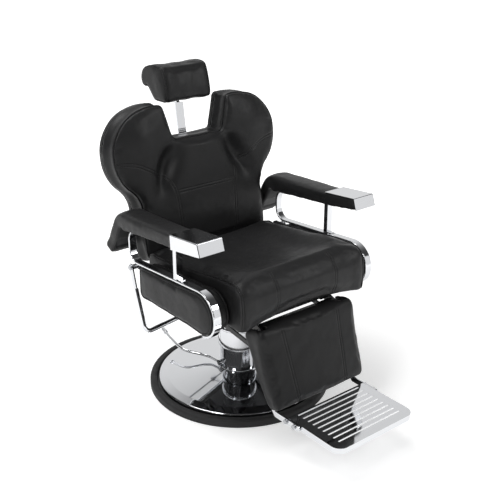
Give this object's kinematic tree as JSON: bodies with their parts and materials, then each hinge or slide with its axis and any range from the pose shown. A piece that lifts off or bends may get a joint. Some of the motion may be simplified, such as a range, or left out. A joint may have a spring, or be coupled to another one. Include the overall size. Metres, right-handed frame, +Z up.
{
  "type": "hydraulic barber chair",
  "caption": "Hydraulic barber chair with a round chromed base, foot lever, padded seat and arms, reclining winged back, height-set headrest, linked leg rest and folding foot plate.",
  "frame": {"origin": "on the floor under the centre of the round base, on the swivel axis", "axes": "+Z up, the sitter faces -Y, the sitter's left is +X"},
  "size_m": [0.751, 1.1416, 1.1267],
  "materials": {
    "vinyl": "satin",
    "chrome": "polished",
    "painted_steel": "satin",
    "steel": "satin",
    "brass": "satin",
    "rubber": "matte",
    "board": "matte",
    "plastic": "gloss"
  },
  "bodies": {
    "base": {"base_plate": "painted_steel", "base_ring": "rubber", "base_dome": "chrome", "foot_collar": "chrome", "lower_sleeve": "chrome", "oil_reservoir": "painted_steel", "cylinder_tube": "steel", "ram_gland": "steel", "plunger_guide": "steel", "lever_bushing": "brass"},
    "lever": {"pump_lever": "chrome", "lever_shaft": "steel", "lever_tip": "chrome"},
    "plunger": {"pump_plunger": "steel", "plunger_spring": "steel"},
    "lift": {"ram": "steel", "ram_piston": "steel", "upper_sleeve": "chrome", "sleeve_trim_ring": "chrome", "swivel_head": "painted_steel", "swivel_nut": "steel"},
    "seat": {"chassis_top": "painted_steel", "chassis_sides": "painted_steel", "frame_bolts": "steel", "seat_rails": "painted_steel", "cross_tubes": "painted_steel", "hinge_brackets": "painted_steel", "seat_board": "board", "seat_cushion": "vinyl", "side_boards": "board", "inner_panels": "vinyl", "outer_panels": "vinyl", "arm_frame_left": "chrome", "arm_frame_right": "chrome", "arm_posts": "chrome", "arm_pad_left": "vinyl", "arm_pad_right": "vinyl", "arm_cap_left": "chrome", "arm_cap_right": "chrome", "arm_tail_plates": "painted_steel", "handle_pivots": "steel", "recline_cylinder": "painted_steel"},
    "back": {"back_cushion": "vinyl", "back_board": "board", "back_levers": "painted_steel", "back_crossbar": "steel", "headrest_socket": "painted_steel"},
    "rod": {"recline_rod": "steel"},
    "handle": {"recline_handle": "chrome"},
    "knob": {"headrest_knob": "plastic"},
    "headrest_stem": {"headrest_bar": "chrome"},
    "headrest": {"headrest_pad": "vinyl", "headrest_plate": "chrome"},
    "leg_rest": {"leg_cushion": "vinyl", "leg_board": "board", "leg_levers": "painted_steel", "foot_links": "chrome", "foot_bolts": "steel"},
    "link": {"link_bars": "painted_steel"},
    "foot_rest": {"foot_plate": "chrome"}
  },
  "joints": [
    {"name": "seat_lift", "type": "slide", "parent": "base", "child": "lift", "axis": [0, 0, 1], "range_m": [-0.05, 0.08]},
    {"name": "seat_swivel", "type": "hinge", "parent": "lift", "child": "seat", "pos_m": [0, 0, 0.31], "axis": [0, 0, 1], "continuous": true},
    {"name": "pump_lever_press", "type": "hinge", "parent": "base", "child": "lever", "pos_m": [0, 0.014, 0.09], "axis": [-1, 0, 0], "range_deg": [0, 8], "stiffness_Nm_per_rad": 30, "springref_deg": -6.88},
    {"name": "pump_plunger_stroke", "type": "slide", "parent": "base", "child": "plunger", "axis": [0, 0, -1], "range_m": [0, 0.0031], "deforming": ["plunger_spring"]},
    {"name": "back_recline", "type": "hinge", "parent": "seat", "child": "back", "pos_m": [0, 0.225, 0.45], "axis": [-1, 0, 0], "range_deg": [0, 50]},
    {"name": "leg_rest_swing", "type": "hinge", "parent": "seat", "child": "leg_rest", "pos_m": [0, -0.335, 0.376], "axis": [-1, 0, 0], "range_deg": [0, 50]},
    {"name": "leg_link_pivot", "type": "hinge", "parent": "leg_rest", "child": "link", "pos_m": [0, -0.305, 0.326], "axis": [-1, 0, 0], "range_deg": [-50, 0]},
    {"name": "recline_rod_stroke", "type": "slide", "parent": "seat", "child": "rod", "axis": [0, -1, 0], "range_m": [0, 0.07617]},
    {"name": "foot_plate_flip", "type": "hinge", "parent": "leg_rest", "child": "foot_rest", "pos_m": [0, -0.506, 0.124], "axis": [-1, 0, 0], "range_deg": [0, 90]},
    {"name": "recline_handle_press", "type": "hinge", "parent": "seat", "child": "handle", "pos_m": [0, 0.157, 0.492], "axis": [1, 0, 0], "range_deg": [0, 14], "stiffness_Nm_per_rad": 20, "springref_deg": -14.32},
    {"name": "headrest_height", "type": "slide", "parent": "back", "child": "headrest_stem", "axis": [0, 0.1392, 0.9903], "range_m": [-0.03, 0.08]},
    {"name": "headrest_tilt", "type": "hinge", "parent": "headrest_stem", "child": "headrest", "pos_m": [0, 0.375, 0.9966], "axis": [1, 0, 0], "range_deg": [-35, 20]},
    {"name": "headrest_knob_turn", "type": "hinge", "parent": "back", "child": "knob", "pos_m": [0, 0.33254, 0.79633], "axis": [0, 0.9903, -0.1392], "range_deg": [-180, 180]}
  ],
  "couplings": [
    {"joint": "pump_plunger_stroke", "follows": "pump_lever_press", "m_per_rad": 0.022},
    {"joint": "leg_rest_swing", "follows": "back_recline", "ratio": 1},
    {"joint": "leg_link_pivot", "follows": "back_recline", "ratio": -1},
    {"joint": "recline_rod_stroke", "follows": "back_recline", "m_per_rad": 0.08717}
  ]
}
